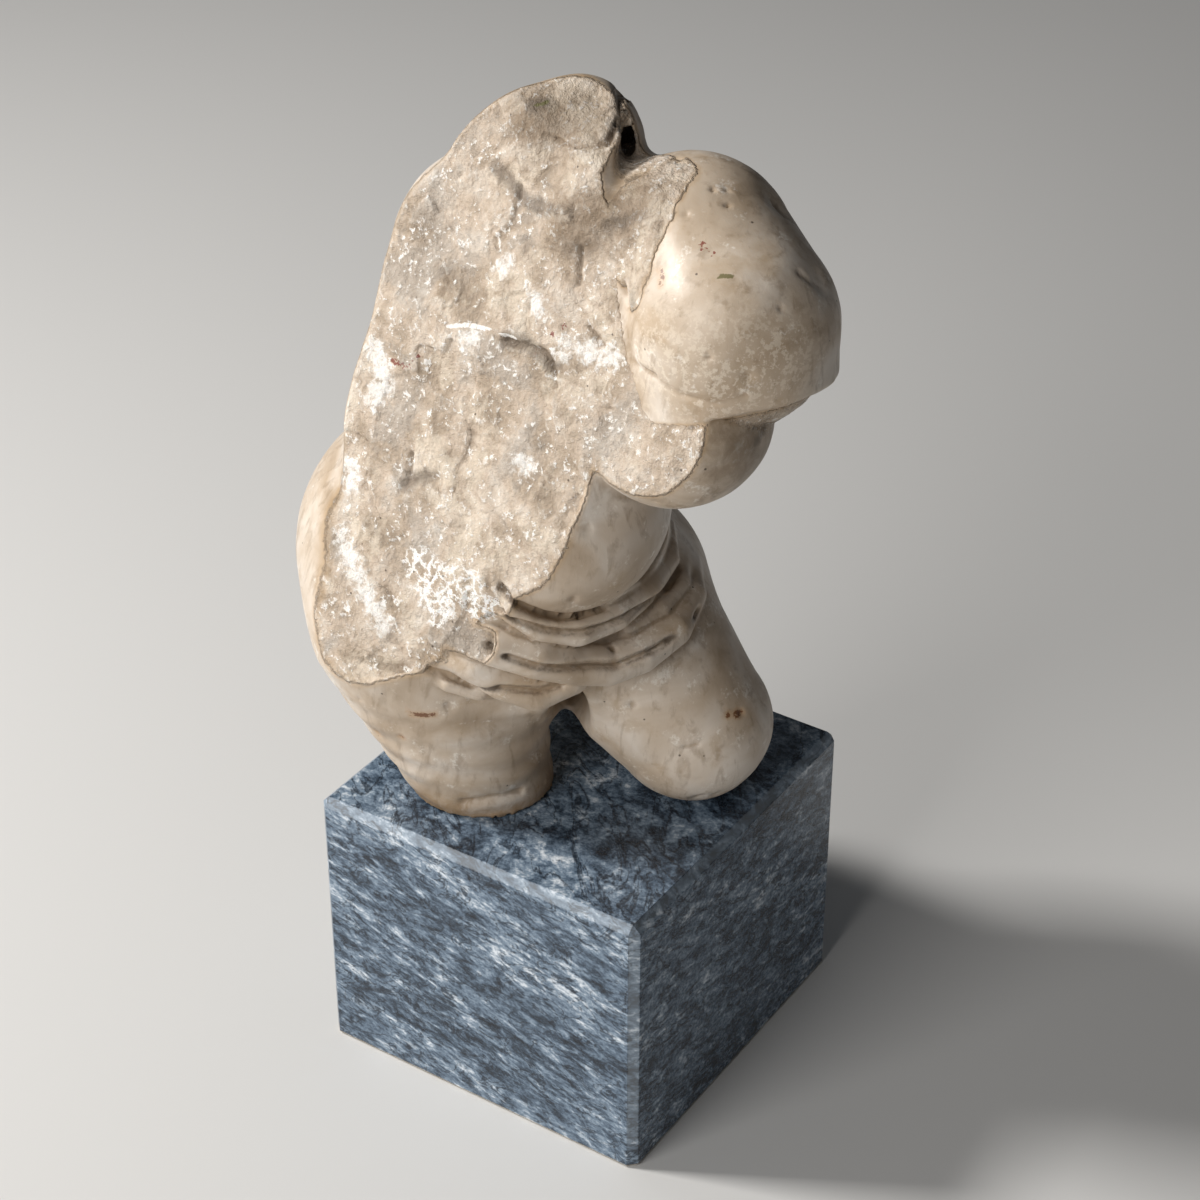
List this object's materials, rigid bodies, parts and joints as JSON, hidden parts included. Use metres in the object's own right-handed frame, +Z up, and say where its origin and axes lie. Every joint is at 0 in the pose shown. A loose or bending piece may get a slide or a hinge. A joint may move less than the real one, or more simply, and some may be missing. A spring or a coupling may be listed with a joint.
{
  "type": "statue fragment",
  "caption": "Broken torso of a crouching figure in patinated white marble, with no head, arms or lower legs, standing on a chamfered block of veined grey marble.",
  "frame": {"origin": "centre of the plinth's underside", "axes": "+Z up, +X along the plinth's front face towards the hunched shoulder's side, +Y from that face to the back of the plinth"},
  "size_m": [0.1835, 0.1321, 0.3448],
  "materials": {
    "torso_marble": "old polish on the carved skin, rough crystalline breaks",
    "plinth_marble": "polished, veined"
  },
  "bodies": {
    "root": {"torso": "torso_marble", "plinth": "plinth_marble"}
  },
  "joints": []
}
